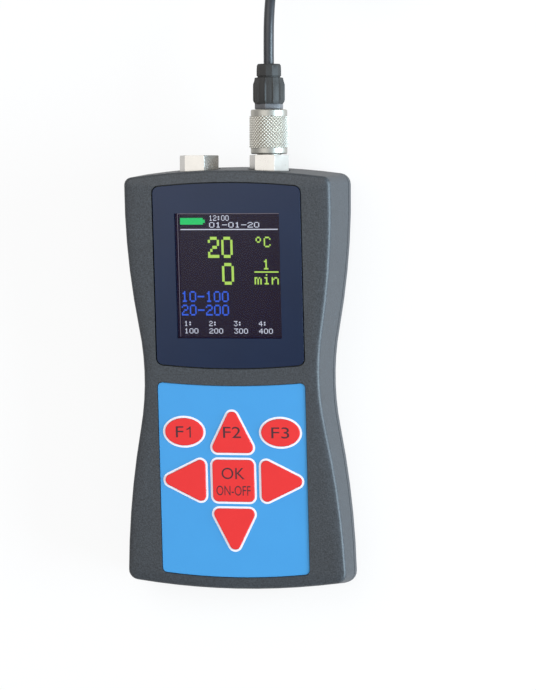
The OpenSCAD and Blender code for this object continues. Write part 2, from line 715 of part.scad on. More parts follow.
module socket_nuts() color("#c9c5bd") for (x = [-socket_x, socket_x])
    socket_axis(x) translate([0, 0, inner_face - mouth_y - nut_t]) difference() {
        rotate(30) cylinder(h = nut_t, r = nut_r, $fn = 6);
        translate([0, 0, -cut]) cylinder(h = nut_t + 2 * cut, r = barrel_r + fit_gap);
    }

tray_half_w = cell_pitch + cell_r + side_gap;
module battery_tray() color("#2a2c2f") place() difference() {
    translate([-tray_half_w - tray_wall, bay_y0 - tray_wall, bay_top])
        cube([2 * (tray_half_w + tray_wall), bay_y1 - bay_y0 + 2 * tray_wall, tray_top - bay_top]);
    translate([-tray_half_w, bay_y0, 0]) cube([2 * tray_half_w, bay_y1 - bay_y0, tray_top + cut]);
}
button_r = 1.9;
button_h = 1;
module battery_cells() color("#2f7d4f") place() for (i = [-1, 0, 1])
    translate([i * cell_pitch, cell_y0, cell_z]) rotate([-90, 0, 0]) {
        cylinder(h = cell_len - button_h, r = cell_r);
        cylinder(h = cell_len, r = button_r);
    }
plate_w = 8;
plate_h = 7.5;
module battery_plates() color("#c9ccd0") place() for (i = [-1, 0, 1])
    translate([i * cell_pitch - plate_w / 2, cell_y0 + cell_len, cell_z - plate_h / 2])
        cube([plate_w, plate_t, plate_h]);
module battery_springs() color("#c9ccd0") place() for (i = [-1, 0, 1])
    translate([i * cell_pitch, bay_y0, cell_z]) rotate([-90, 0, 0])
        cylinder(h = spring_len, r1 = plate_w / 2, r2 = button_r);

// The plug, along the sensor socket's axis, from the mouth outwards.
mate_gap = 0.3;
ring_len = low_band_len + knurl_len + high_band_len;
neck_at = mate_gap + ring_len + slide_gap;
collar_at = neck_at + neck_len;
sleeve_at = collar_at + collar_len;
cable_at = sleeve_at + sleeve_len;
core_in = bore_deep - pin_clear;
pin_hold = 1.5;                 // length of a pin in the plug's core
module coupling_parts() difference() {
    union() {
        translate([0, 0, -screw_len]) cylinder(h = screw_len + mate_gap + cut, r = screw_r);
        translate([0, 0, mate_gap]) cylinder(h = low_band_len, r = band_r);
        translate([0, 0, mate_gap + low_band_len]) linear_extrude(knurl_len) knurl_outline();
        translate([0, 0, mate_gap + low_band_len + knurl_len]) cylinder(h = high_band_len, r = band_r);
    }
    translate([0, 0, -screw_len - cut])
        cylinder(h = ring_len + screw_len + mate_gap + 2 * cut, r = core_r + fit_gap);
}
knurl_teeth = 40;
module knurl_outline() polygon([
    for (i = [0 : 2 * knurl_teeth - 1])
        (knurl_r - (i % 2) * knurl_deep) * [cos(180 * i / knurl_teeth), sin(180 * i / knurl_teeth)]
]);
module coupling_ring() color("#bdb9b2") socket_axis(socket_x) coupling_parts();
module core_part(into_neck) difference() {
    translate([0, 0, -core_in]) cylinder(h = core_in + neck_at + into_neck, r = core_r);
    pins_at(-core_in - cut, pin_hold - core_in + snug, pin_r + fit_gap);
}
module plug_pin_set() pins_at(-bore_deep - pin_len, pin_hold - core_in, pin_r);
module plug_core() color("#3a3c40") socket_axis(socket_x) core_part(0);
module neck_part() translate([0, 0, neck_at]) rotate(30) cylinder(h = neck_len, r = neck_r, $fn = 6);
module plug_pins() color("#d8b24a") {
    socket_axis(socket_x) plug_pin_set();
    end_axis() plug_pin_set();
}
module plug_neck() color("#46525c") socket_axis(socket_x) neck_part();
rib_count = 24;
rib_deep = 0.35;
taper_len = 1;
module clamp_parts() {
    translate([0, 0, collar_at]) linear_extrude(collar_len - taper_len) polygon([
        for (i = [0 : 4 * rib_count - 1])
            (collar_r - (floor(i / 2) % 2) * rib_deep) * [cos(90 * i / rib_count), sin(90 * i / rib_count)]
    ]);
    translate([0, 0, sleeve_at - taper_len]) cylinder(h = taper_len, r1 = collar_r - rib_deep, r2 = sleeve_r);
    translate([0, 0, sleeve_at]) cylinder(h = sleeve_len, r = sleeve_r);
}
module clamp_collar() color("#3a3b3d") socket_axis(socket_x) clamp_parts();

// The cable. Its points are chosen by hand, in the finished frame: out of the sleeve, down to the
// surface, into the coil, and from the coil's top layer to the far connector. All of it lies clear
// of the straight way into the open socket.
cable_r = cable_d / 2;
tie_t = 0.8;
tie_w = 3.5;
tie_gap = 0.3;
tie_head = [4.5, 3.2];
coil_base = tie_t + tie_gap + cable_r;
route = [
    [10.65, 90.76, 16.5], [10.65, 97, 16.5], [10.65, 104, 16], [10.65, 111, 14], [10.65, 118, 10.4],
    [10.65, 125, 6.4], [10.65, 130, 4], [10.65, 133, 2.9], [10.65, 135.9, 2.65]
];
tail_route = [
    [10.65, 142.1, 14.65], [10.65, 150, 14.3], [11.5, 157.5, 13], [14.7, 164.4, 10.9], [20.3, 169.2, 8.5],
    [25.9, 170.9, 6.6], [30.1, 171, 5.85], [33.3, 171, 5.85]
];
tail_end = tail_route[len(tail_route) - 1];
// A tube of the given radius along the points, with one ring of sides at each.
function tube_ring(points, i, r, sides) =
    let (
        n = len(points), ahead = points[min(i + 1, n - 1)] - points[max(i - 1, 0)],
        t = ahead / norm(ahead), u = cross([0, 0, 1], t) / norm(cross([0, 0, 1], t)), v = cross(t, u)
    )
    [for (k = [0 : sides - 1]) points[i] + r * (cos(360 * k / sides) * u + sin(360 * k / sides) * v)];
module tube(points, r, sides) loft([for (i = [0 : len(points) - 1]) tube_ring(points, i, r, sides)]);

// The coil: each layer spirals in or out at a steady rate, and the next layer starts after half a
// turn in which the tube climbs. Turns are counted from the side where the cable comes in.
coil_c = [34.15, 139];
coil_out_r = 23.5;
coil_in_r = coil_out_r - layer_turns * turn_pitch;
climb_turns = 0.5;
coil_turns = coil_layers * layer_turns + (coil_layers - 1) * climb_turns;
function layer_of(t) = min(floor(t / (layer_turns + climb_turns)), coil_layers - 1);
function into_layer(t) = t - layer_of(t) * (layer_turns + climb_turns);
function coil_r(t) =
    let (gone = min(into_layer(t), layer_turns) * turn_pitch)
    layer_of(t) % 2 == 0 ? coil_out_r - gone : coil_in_r + gone;
function coil_z(t) =
    let (climb = max(into_layer(t) - layer_turns, 0) / climb_turns)
    coil_base + (layer_of(t) + (1 - cos(180 * climb)) / 2) * layer_pitch;
function coil_point(t) =
    [coil_c.x - coil_r(t) * cos(360 * t), coil_c.y + coil_r(t) * sin(360 * t), coil_z(t)];
rings_a_turn = 24;
coil_steps = round(coil_turns * rings_a_turn);
coil_in = coil_point(0);
coil_out = coil_point(coil_turns);
coil_points = [
    coil_in - [0, cable_d, 0], for (i = [0 : coil_steps]) coil_point(i / rings_a_turn),
    coil_out + [0, cable_d, 0]
];
least_gap = min([
    for (i = [0 : len(coil_points) - 1]) for (j = [i + rings_a_turn / 3 : len(coil_points) - 1])
        norm(coil_points[i] - coil_points[j])
]) - cable_d;
echo(str("Least gap between turns of the coil: ", least_gap, " mm"));

module cable() color("#26272a") tube(route, cable_r, 8);
module cable_coil() color("#26272a") tube(coil_points, cable_r, 6);
module cable_tail() color("#26272a") tube(tail_route, cable_r, 8);
// The tie goes round all the turns on the side away from the cable.
tie_radii = [for (t = [0.5 : coil_turns]) coil_r(t)];
tie_x0 = coil_c.x + min(tie_radii) - cable_r - tie_gap;
tie_x1 = coil_c.x + max(tie_radii) + cable_r + tie_gap;
tie_z0 = coil_base - cable_r - tie_gap;
tie_z1 = coil_base + (coil_layers - 1) * layer_pitch + cable_r + tie_gap;
module cable_tie() color("#1d1e20")
    translate([0, coil_c.y + tie_w / 2, 0]) rotate([90, 0, 0]) linear_extrude(tie_w) {
        difference() {
            translate([tie_x0 - tie_t, tie_z0 - tie_t])
                square([tie_x1 - tie_x0 + 2 * tie_t, tie_z1 - tie_z0 + 2 * tie_t]);
            translate([tie_x0, tie_z0]) square([tie_x1 - tie_x0, tie_z1 - tie_z0]);
        }
        translate([tie_x1 + tie_t / 2, tie_z0 + tie_head.x])
            square([tie_head.y + tie_t / 2, tie_head.x]);
    }
// The far connector lies on the surface behind the coil and is made like the near one.
module end_axis() translate(tail_end) rotate([0, -90, 0]) translate([0, 0, -cable_at]) children();
module end_plug_body() color("#3a3b3d") end_axis() {
    core_part(neck_len);
    neck_part();
    clamp_parts();
}
module end_plug_ring() color("#bdb9b2") end_axis() coupling_parts();

front_shell();
back_shell();
shell_seal();
battery_door();
housing_screws();
display_window();
window_gasket();
display_frame();
display_panel();
display_backlight();
keypad_overlay();
key_piece(0);  // key_f1
key_piece(1);  // key_up
key_piece(2);  // key_f3
key_piece(3);  // key_left
key_piece(4);  // key_ok
key_piece(5);  // key_right
key_piece(6);  // key_down
snap_domes();
keypad_board();
main_board();
board_link();
board_chips();
board_screws();
service_socket();
service_block();
sensor_socket();
sensor_block();
contact_pins();
socket_nuts();
battery_tray();
battery_cells();
battery_plates();
battery_springs();
plug_core();
plug_pins();
coupling_ring();
plug_neck();
clamp_collar();
cable();
cable_coil();
cable_tail();
cable_tie();
end_plug_body();
end_plug_ring();
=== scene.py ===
# A handheld vibration meter lying on its back, dressed for the photograph: one section a piece,
# in the order in which the meter is put together. Lengths are in metres, in the frame's own axes.
import math

import bpy
from mathutils import Matrix, Vector


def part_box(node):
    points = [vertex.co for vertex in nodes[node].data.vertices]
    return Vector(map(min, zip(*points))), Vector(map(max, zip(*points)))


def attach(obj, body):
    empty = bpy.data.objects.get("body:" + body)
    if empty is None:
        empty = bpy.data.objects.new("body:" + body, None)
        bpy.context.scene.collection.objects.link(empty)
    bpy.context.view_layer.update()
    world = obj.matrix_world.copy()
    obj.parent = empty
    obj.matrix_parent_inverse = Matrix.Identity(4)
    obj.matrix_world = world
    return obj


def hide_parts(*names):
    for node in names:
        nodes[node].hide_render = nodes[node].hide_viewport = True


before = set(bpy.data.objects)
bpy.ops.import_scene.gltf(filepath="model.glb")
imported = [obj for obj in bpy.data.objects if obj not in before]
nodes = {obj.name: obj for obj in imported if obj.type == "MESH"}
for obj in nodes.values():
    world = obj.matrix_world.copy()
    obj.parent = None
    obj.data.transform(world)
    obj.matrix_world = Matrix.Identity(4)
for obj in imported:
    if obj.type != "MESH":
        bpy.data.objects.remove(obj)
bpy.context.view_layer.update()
mm = 0.001


# The rear shell
# A tray moulded in dark grey ABS, screwed to the front shell from behind. Its mould was
# spark-eroded, so the plastic has a fine, even grain and a low sheen.
class Level:
    """A value that varies over a surface; ordinary sums on it add the shader's own maths."""

    def __init__(self, finish, socket):
        self.finish, self.socket = finish, socket

    def work(self, operation, *values):
        return self.finish.node(
            "ShaderNodeMath", {"operation": operation}, dict(enumerate([self, *values])))

    def __add__(self, other):
        return self.work("ADD", other)

    def __sub__(self, other):
        return self.work("SUBTRACT", other)

    def __rsub__(self, other):
        return self.work("MULTIPLY", -1) + other

    def __mul__(self, other):
        return self.work("MULTIPLY", other)

    def __gt__(self, other):
        return self.work("GREATER_THAN", other)

    def __lt__(self, other):
        return self.work("LESS_THAN", other)

    def __abs__(self):
        return self.work("ABSOLUTE")

    __radd__, __rmul__ = __add__, __mul__


class Finish:
    """One procedural material. Values that are the same all over go on the shader's own sockets."""

    def __init__(self, name, colour, steady=()):
        self.material = bpy.data.materials.new(name)
        self.material.use_nodes = True
        self.tree = self.material.node_tree
        self.shader = self.tree.nodes["Principled BSDF"]
        for socket, value in {"Base Color": tint(*colour), **dict(steady)}.items():
            self.shader.inputs[socket].default_value = value
        self.spot = self.node("ShaderNodeTexCoord", out="Object")

    def node(self, kind, settings=(), sockets=(), out=0):
        """Adds a node, sets it up, fills or links its sockets, and gives back one output."""
        made = self.tree.nodes.new(kind)
        for name, value in dict(settings).items():
            setattr(made, name, value)
        for name, value in dict(sockets).items():
            if isinstance(value, Level):
                self.tree.links.new(value.socket, made.inputs[name])
            else:
                made.inputs[name].default_value = value
        return Level(self, made.outputs[out])

    def noise(self, size, detail=2.0):
        """Cloudy noise from 0 to 1 with patches of about the given size."""
        return self.node("ShaderNodeTexNoise", {}, {
            "Vector": self.spot, "Scale": 1 / size, "Detail": detail})

    def mixed(self, share, first, second):
        """A colour between two others."""
        return self.node("ShaderNodeMix", {"data_type": "RGBA"}, {0: share, 6: first, 7: second}, out=2)

    def feed(self, socket, value):
        self.tree.links.new(value.socket, self.shader.inputs[socket])

    def vary(self, share, first, second, socket="Base Color"):
        """Lets the colour wander between two others, given as they look on a screen."""
        self.feed(socket, self.mixed(share, tint(*first), tint(*second)))

    def relief(self, height, depth):
        """Raises the surface by up to depth where height is 1."""
        self.feed("Normal", self.node("ShaderNodeBump", {}, {"Height": height, "Distance": depth}))

    def axes(self):
        """The surface's own x, y and z."""
        return [self.node("ShaderNodeSeparateXYZ", {}, {0: self.spot}, out) for out in range(3)]


def tint(red, green, blue):
    """A colour given as it looks on a screen, 0 to 255, as the shader's own colour."""
    shares = [c / 255 for c in (red, green, blue)]
    return (*[c / 12.92 if c <= 0.04 else ((c + 0.055) / 1.055) ** 2.4 for c in shares], 1)


def shaded(share, colour):
    """The same colour, darker or lighter."""
    return [share * c for c in colour]


def moulded(name, colour, grain=0.42 * mm, depth=0.06 * mm, rough=0.48, speckle=1.6):
    """Grained moulded plastic: a fine bump, faint mottling, and patches rubbed a little smoother."""
    plastic = Finish(name, colour)
    fine = plastic.noise(grain)
    patches = plastic.noise(18 * mm)
    plastic.vary(
        (fine - 0.5) * speckle + patches * 0.2 + 0.4, shaded(0.6, colour), shaded(1.36, colour))
    plastic.feed("Roughness", rough - 0.06 + patches * 0.08 + fine * 0.06)
    plastic.relief(fine, depth)
    return plastic


def dress(finish, *names):
    """Gives CAD nodes a finish in place of their plain one."""
    for name in names:
        for slot in nodes[name].material_slots:
            slot.material = finish.material


def alone(piece=None):
    """Back to object mode, with nothing but the given piece selected."""
    if bpy.context.object and bpy.context.object.mode != "OBJECT":
        bpy.ops.object.mode_set(mode="OBJECT")
    bpy.ops.object.select_all(action="DESELECT")
    if piece:
        piece.select_set(True)
        bpy.context.view_layer.objects.active = piece


weld, flat_within = 0.001 * mm, math.radians(0.5)
smooth_below, bevel_above = math.radians(35), math.radians(40)


def settle(piece, name, finish, body="meter", place=None):
    """Names a finished piece, puts its place into its mesh, and lets it ride on its body."""
    alone(piece)
    if place:
        piece.matrix_world = place
    bpy.ops.object.transform_apply(location=True, rotation=True, scale=True)
    piece.name = piece.data.name = name
    piece.data.materials.clear()
    piece.data.materials.append(finish.material)
    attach(piece, body)
    return piece


def softened(node, name, finish, width, body="meter", steps=2):
    """The CAD piece with its sharp edges broken as a mould or a cutter leaves them."""
    piece = nodes[node].copy()
    piece.data = nodes[node].data.copy()
    piece.parent = None
    bpy.context.scene.collection.objects.link(piece)
    alone(piece)
    bpy.ops.object.mode_set(mode="EDIT")
    bpy.ops.mesh.select_all(action="SELECT")
    bpy.ops.mesh.remove_doubles(threshold=weld)
    bpy.ops.mesh.dissolve_limited(angle_limit=flat_within)
    bpy.ops.object.mode_set(mode="OBJECT")
    edge = piece.modifiers.new("broken edges", "BEVEL")
    edge.width, edge.segments, edge.limit_method = width, steps, "ANGLE"
    edge.angle_limit, edge.use_clamp_overlap = bevel_above, True
    bpy.ops.object.modifier_apply(modifier=edge.name)
    bpy.ops.object.shade_smooth_by_angle(angle=smooth_below)
    even = piece.modifiers.new("flat faces stay flat", "WEIGHTED_NORMAL")
    even.keep_sharp = True
    bpy.ops.object.modifier_apply(modifier=even.name)
    settle(piece, name, finish, body)
    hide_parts(node)
    return piece


shell_grey = (52, 55, 59)
rear_plastic = moulded("rear_plastic", shell_grey)
softened("back_shell", "rear_shell", rear_plastic, 0.15 * mm)

# The battery bay
# A moulded black tray holds three small cells side by side, black with a copper band. Plated
# steel tabs press on their buttons, and wire springs on their foot ends.
tray_plastic = moulded("tray_plastic", (34, 35, 38), grain=0.5 * mm, rough=0.55)
dress(tray_plastic, "battery_tray")

jacket = Finish("cell_jacket", (42, 44, 48), {
    "Roughness": 0.28, "Coat Weight": 0.4, "Coat Roughness": 0.12})
cell_low, cell_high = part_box("battery_cells")
black_share = 0.68
band_from = cell_low[1] + black_share * (cell_high[1] - cell_low[1])
jacket.vary(jacket.axes()[1] > band_from, (42, 44, 48), (176, 112, 62))
jacket.relief(jacket.noise(6 * mm), 0.05 * mm)
dress(jacket, "battery_cells")


def plated(name, colour, rough=0.25, streak=0.2):
    """Plated metal: bright, with faint streaks and smudges in its polish."""
    metal = Finish(name, colour, {"Metallic": 1.0})
    smudge = metal.noise(3 * mm, 4)
    metal.feed("Roughness", rough - streak / 4 + smudge * streak)
    metal.vary(smudge, shaded(0.86, colour), colour)
    metal.relief(metal.noise(0.4 * mm), 0.004 * mm)
    return metal


spring_steel = plated("spring_steel", (196, 198, 202), 0.3)
dress(spring_steel, "battery_plates", "battery_springs")

# The battery door
# A thin plate moulded in the shell's own plastic, with the same grain. It slides out of the
# foot end on two tongues.
door_plastic = moulded("door_plastic", shell_grey)
softened("battery_door", "door", door_plastic, 0.12 * mm, "battery_door_body")

# The boards
# Glass-fibre boards with green solder mask over copper tracks, black chips underneath,
# a white strip connector between the boards, and small plated screws.
mask_green = Finish("solder_mask", (28, 96, 54), {"Roughness": 0.35, "Coat Weight": 0.3})
tracks = mask_green.node(
    "ShaderNodeTexBrick", {"offset": 0.35},
    {"Vector": mask_green.spot, "Scale": 420.0, "Color1": (0, 0, 0, 1), "Color2": (0.25, 0.25, 0.25, 1),
     "Mortar": (1, 1, 1, 1), "Mortar Size": 0.06}, out="Fac")
mask_green.vary(tracks, (22, 84, 46), (66, 140, 78))
mask_green.relief(tracks, 0.02 * mm)
dress(mask_green, "keypad_board", "main_board")

chip_black = Finish("chip_epoxy", (26, 27, 29))
chip_black.relief(chip_black.noise(0.2 * mm), 0.01 * mm)
chip_black.feed("Roughness", 0.5 + chip_black.noise(2 * mm) * 0.2)
dress(chip_black, "board_chips")

link_white = moulded("link_plastic", (214, 208, 190), grain=0.3 * mm, rough=0.4)
dress(link_white, "board_link")
dome_steel = plated("dome_steel", (190, 193, 197), 0.2)
dress(dome_steel, "snap_domes", "board_screws")

# The display
# A colour panel on its white backlight, held in a moulded black frame under the window. Its
# glass is nearly black, with a faint violet glow.
dress(moulded("frame_plastic", (30, 32, 35), rough=0.6), "display_frame")
glow = Finish("backlight_white", (230, 232, 235), {"Roughness": 0.5})
glow.vary(glow.noise(4 * mm), (220, 223, 226), (238, 240, 243))
dress(glow, "display_backlight")

screen = Finish("screen", (14, 10, 13), {
    "Roughness": 0.15, "Specular IOR Level": 0.2, "Emission Strength": 1.0})
screen_dark = (28, 14, 31)
screen.vary(
    screen.noise(9 * mm), shaded(0.94, screen_dark), shaded(1.06, screen_dark), "Emission Color")
dress(screen, "display_panel")

# What the display shows
# Lit dots of the panel itself, in rows of five by seven to a figure: a charge mark, a clock and
# a date, two readings with their units, two rows of numbers and the soft keys' numbers.
head_z, foot_z, foot_y, shell_long = 26.6 * mm, 16.1 * mm, -63.669 * mm, 123.4 * mm
tilt = math.atan((head_z - foot_z) / shell_long)
face = Matrix.Translation((0, foot_y, foot_z)) @ Matrix.Rotation(tilt, 4, "X")
lit_w, lit_h, lit_mid = 31.2 * mm, 36.3 * mm, 92.8 * mm
dot_depth = -2.46 * mm
figures = {
    "0": (14, 17, 17, 17, 17, 17, 14), "1": (4, 12, 4, 4, 4, 4, 14), "2": (14, 17, 1, 6, 8, 16, 31),
    "3": (31, 2, 4, 2, 1, 17, 14), "4": (2, 6, 10, 18, 31, 2, 2), "C": (14, 17, 16, 16, 16, 17, 14),
    "o": (12, 18, 18, 12, 0, 0, 0), ":": (0, 12, 12, 0, 12, 12, 0), "-": (0, 0, 0, 31, 0, 0, 0),
    "m": (0, 0, 26, 21, 21, 21, 21), "i": (4, 0, 12, 4, 4, 4, 14), "n": (0, 0, 22, 25, 17, 17, 17),
}
figure_w, figure_h = 5, 7


def shine(name, colour):
    """A lit dot: its light is its colour."""
    light = Finish(name, (10, 10, 10), {"Roughness": 0.4, "Emission Strength": 1.0})
    light.vary(light.noise(0.5 * mm), shaded(0.9, colour), colour, "Emission Color")
    return light


def laid(piece, name, light, left, head, width, height):
    """Stretches a square of one metre to its size and lays it on the panel."""
    size = Matrix.Diagonal((width, height, 1, 1))
    where = Matrix.Translation((left + width / 2, head - height / 2, dot_depth))
    settle(piece, name, light, place=face @ where @ size)


def dots(name, words, left, head, width, height, light):
    """A row of figures: a grid of dots the size of the row, with the dark ones taken out."""
    pitch = figure_w + 1
    columns = pitch * len(words) - 1
    bpy.ops.mesh.primitive_grid_add(x_subdivisions=columns, y_subdivisions=figure_h, size=1)
    piece = bpy.context.object
    bpy.ops.object.mode_set(mode="EDIT")
    bpy.ops.mesh.select_mode(type="FACE")
    bpy.ops.mesh.select_all(action="DESELECT")
    bpy.ops.object.mode_set(mode="OBJECT")
    for dot in piece.data.polygons:
        column = int((dot.center.x + 0.5) * columns)
        row = int((0.5 - dot.center.y) * figure_h)
        which, across = divmod(column, pitch)
        lit = across < figure_w and figures[words[which]][row] >> (figure_w - 1 - across) & 1
        dot.select = not lit
    bpy.ops.object.mode_set(mode="EDIT")
    bpy.ops.mesh.delete(type="FACE")
    bpy.ops.mesh.select_mode(type="VERT")
    bpy.ops.object.mode_set(mode="OBJECT")
    laid(piece, name, light, left, head, width, height)


def bar(name, left, head, width, height, light):
    """A plain lit bar."""
    bpy.ops.mesh.primitive_grid_add(x_subdivisions=4, y_subdivisions=2, size=1)
    laid(bpy.context.object, name, light, left, head, width, height)


white_light = shine("white_dots", (225, 230, 250))
green_light = shine("green_dots", (20, 222, 112))
lime_light = shine("lime_dots", (198, 245, 98))
blue_light = shine("blue_dots", (38, 100, 250))
bar("charge_mark", -14.75 * mm, 109.65 * mm, 6.9 * mm, 1.95 * mm, green_light)
bar("charge_tip", -7.85 * mm, 109.15 * mm, 0.6 * mm, 0.95 * mm, green_light)
dots("clock", "12:00", -5.96 * mm, 110.4 * mm, 6.0 * mm, 1.6 * mm, white_light)
dots("day", "01-01-20", -5.96 * mm, 108.4 * mm, 15.2 * mm, 1.6 * mm, white_light)
bar("top_rule", -14.7 * mm, 106.4 * mm, 29.5 * mm, 0.3 * mm, white_light)
dots("reading", "20", -6.5 * mm, 104.1 * mm, 7.5 * mm, 6.2 * mm, lime_light)
dots("reading_unit", "oC", 8.0 * mm, 104.1 * mm, 4.5 * mm, 3.1 * mm, lime_light)
dots("speed", "0", -2.4 * mm, 96.4 * mm, 3.6 * mm, 6.4 * mm, lime_light)
dots("speed_unit_top", "1", 9.9 * mm, 97.5 * mm, 2.2 * mm, 3.0 * mm, lime_light)
bar("speed_unit_bar", 7.4 * mm, 93.95 * mm, 7.3 * mm, 0.4 * mm, lime_light)
dots("speed_unit_foot", "min", 7.4 * mm, 93.1 * mm, 7.3 * mm, 3.0 * mm, lime_light)
dots("range_a", "10-100", -15.0 * mm, 88.1 * mm, 14.4 * mm, 3.2 * mm, blue_light)
dots("range_b", "20-200", -15.0 * mm, 84.1 * mm, 14.4 * mm, 3.2 * mm, blue_light)
for i in range(4):
    left = (-14.3 + 7.55 * i) * mm
    dots(f"soft_key_{i + 1}", f"{i + 1}:", left, 79.3 * mm, 2.4 * mm, 1.5 * mm, white_light)
    dots(f"soft_word_{i + 1}", f"{i + 1}00", left, 77.1 * mm, 4.2 * mm, 1.5 * mm, white_light)

# The window
# Clear acrylic, printed navy-grey on its inner face except over the lit area, and polished.
# It lies flush in its recess on a thin black gasket.
pane = Finish("window_pane", (20, 34, 60), {"Roughness": 0.18, "IOR": 1.49, "Specular IOR Level": 0.32})
x, y, z = pane.axes()
rise = (y - foot_y) * math.cos(tilt) + (z - foot_z) * math.sin(tilt)
margin, see_through = 0.25 * mm, 0.9
clear = (abs(x) < lit_w / 2 + margin) * (abs(rise - lit_mid) < lit_h / 2 + margin)
pane.vary(pane.noise(14 * mm), (14, 29, 55), (18, 35, 64))
pane.feed("Alpha", 1 - clear * see_through)
softened("display_window", "window", pane, 0.06 * mm)

gasket = Finish("gasket_foam", (12, 13, 15), {"Roughness": 0.85})
gasket.relief(gasket.noise(0.3 * mm), 0.02 * mm)
gasket.vary(gasket.noise(1 * mm), (9, 10, 11), (18, 19, 21))
dress(gasket, "window_gasket")

# Painted highlight: the bright edge of the panel's glass, drawn as fine glowing bars round the lit area.
painted_glint, glint_wide = shine("edge_glint", (128, 120, 132)), 0.16 * mm
for name, left, width, height in (
        ("edge_glint_head", -lit_w / 2, lit_w, glint_wide), ("edge_glint_left", -lit_w / 2, glint_wide, lit_h),
        ("edge_glint_right", lit_w / 2 - glint_wide, glint_wide, lit_h)):
    bar(name, left, lit_mid + lit_h / 2, width, height, painted_glint)

# The front shell, its seal and its screws
# The wedge-shaped cover with the hollow waist, moulded in one piece with its two recesses.
# A thin black seal shows in the seam, and four screws come up through the rear shell.
front_plastic = moulded("front_plastic", shell_grey)
softened("front_shell", "front_cover", front_plastic, 0.15 * mm)
seal = Finish("seal_rubber", (17, 18, 20))
seal.relief(seal.noise(0.5 * mm), 0.01 * mm)
seal.feed("Roughness", 0.6 + seal.noise(3 * mm) * 0.2)
dress(seal, "shell_seal")
dress(plated("screw_steel", (120, 122, 126), 0.35), "housing_screws")

# The keypad overlay
# Blue polyester film with a satin face, glued into the keypad recess. Seven openings let the
# keys through.
film = Finish("blue_film", (64, 150, 212), {"Roughness": 0.45, "Specular IOR Level": 0.4})
film_grain = film.noise(0.25 * mm)
film.vary(film_grain * 0.5 + film.noise(12 * mm) * 0.5, (60, 145, 207), (68, 156, 216))
film.relief(film_grain, 0.006 * mm)
softened("keypad_overlay", "overlay", film, 0.08 * mm)

# The keys
# Seven red keys of moulded silicone rubber with printed legends. A white line is printed on
# the overlay round each of them.
rubber_red = Finish("red_rubber", (228, 41, 41), {"Roughness": 0.42, "Specular IOR Level": 0.4})
red_grain = rubber_red.noise(0.3 * mm)
rubber_red.vary(red_grain * 0.5 + rubber_red.noise(5 * mm) * 0.5, (222, 38, 39), (235, 45, 44))
rubber_red.relief(red_grain, 0.008 * mm)
pitch_x, pitch_v, ok_v = 14.633 * mm, 14.4 * mm, 32.3 * mm
key_spots = {
    "f1": (-pitch_x, ok_v + pitch_v), "up": (0, ok_v + pitch_v), "f3": (pitch_x, ok_v + pitch_v),
    "left": (-pitch_x, ok_v), "ok": (0, ok_v), "right": (pitch_x, ok_v), "down": (0, ok_v - pitch_v)}
for key in key_spots:
    softened(f"key_{key}", f"red_{key}", rubber_red, 0.18 * mm, f"key_{key}_body", steps=3)

oval_w, oval_h, ok_w, ok_h = 5.84 * mm, 4.05 * mm, 6.3165 * mm, 6.2 * mm
corner_r, key_gap, oval_steps, corner_steps = 1.6 * mm, 0.3 * mm, 48, 8


def rounded(corners, grow):
    """The outline of a polygon with round corners, grown outwards."""
    outline = []
    for i, corner in enumerate(corners):
        corner = Vector(corner)
        before, after = Vector(corners[i - 1]) - corner, Vector(corners[(i + 1) % len(corners)]) - corner
        before.normalize()
        after.normalize()
        half = before.angle(after) / 2
        centre = corner + (before + after).normalized() * corner_r / math.sin(half)
        first = math.atan2(before.x, -before.y)
        for step in range(corner_steps + 1):
            turn = first + (math.pi - 2 * half) * step / corner_steps
            outline.append(centre + (corner_r + grow) * Vector((math.cos(turn), math.sin(turn))))
    return outline


def key_outline(key, grow):
    """A key's outline round its own middle, grown outwards."""
    if key in ("f1", "f3"):
        turns = [math.tau * step / oval_steps for step in range(oval_steps)]
        return [Vector(((oval_w + grow) * math.cos(turn), (oval_h + grow) * math.sin(turn)))
                for turn in turns]
    if key == "ok":
        return rounded([(-ok_w, -ok_h), (ok_w, -ok_h), (ok_w, ok_h), (-ok_w, ok_h)], grow)
    upright = key in ("up", "down")
    base = (pitch_x if upright else pitch_v) - key_gap
    height = (pitch_v if upright else pitch_x) - key_gap
    lift = corner_r * (1 / math.sin(math.atan(base / 2 / height)) - 1) / 2
    points_to = Matrix.Rotation(
        {"up": 0, "left": math.pi / 2, "down": math.pi, "right": -math.pi / 2}[key], 2)
    corners = [(-base / 2, lift - height / 2), (base / 2, lift - height / 2), (0, lift + height / 2)]
    return [points_to @ point for point in rounded(corners, grow)]


white_ink = Finish("white_ink", (240, 236, 244), {"Roughness": 0.4})
white_ink.vary(white_ink.noise(1.5 * mm), (232, 228, 238), (246, 243, 250))
line_from, line_to, line_thick = 0.06 * mm, 0.68 * mm, 0.02 * mm
film_top, line_gap = -0.3 * mm, 0.01 * mm
for key, (key_x, key_v) in key_spots.items():
    edge = key_outline(key, line_to)
    bpy.ops.mesh.primitive_circle_add(vertices=len(edge), fill_type="NGON")
    line = bpy.context.object
    for vertex, point in zip(line.data.vertices, edge):
        vertex.co = (point.x, point.y, 0)
    bpy.ops.object.mode_set(mode="EDIT")
    bpy.ops.mesh.select_all(action="SELECT")
    bpy.ops.mesh.normals_make_consistent(inside=False)
    bpy.ops.mesh.inset(thickness=line_to - line_from)
    bpy.ops.mesh.delete(type="ONLY_FACE")
    bpy.ops.mesh.select_all(action="SELECT")
    bpy.ops.mesh.extrude_region_move(TRANSFORM_OT_translate={"value": (0, 0, line_thick)})
    bpy.ops.mesh.select_all(action="SELECT")
    bpy.ops.mesh.normals_make_consistent(inside=False)
    bpy.ops.object.mode_set(mode="OBJECT")
    settle(line, f"line_{key}", white_ink,
           place=face @ Matrix.Translation((key_x, key_v, film_top + line_gap)))

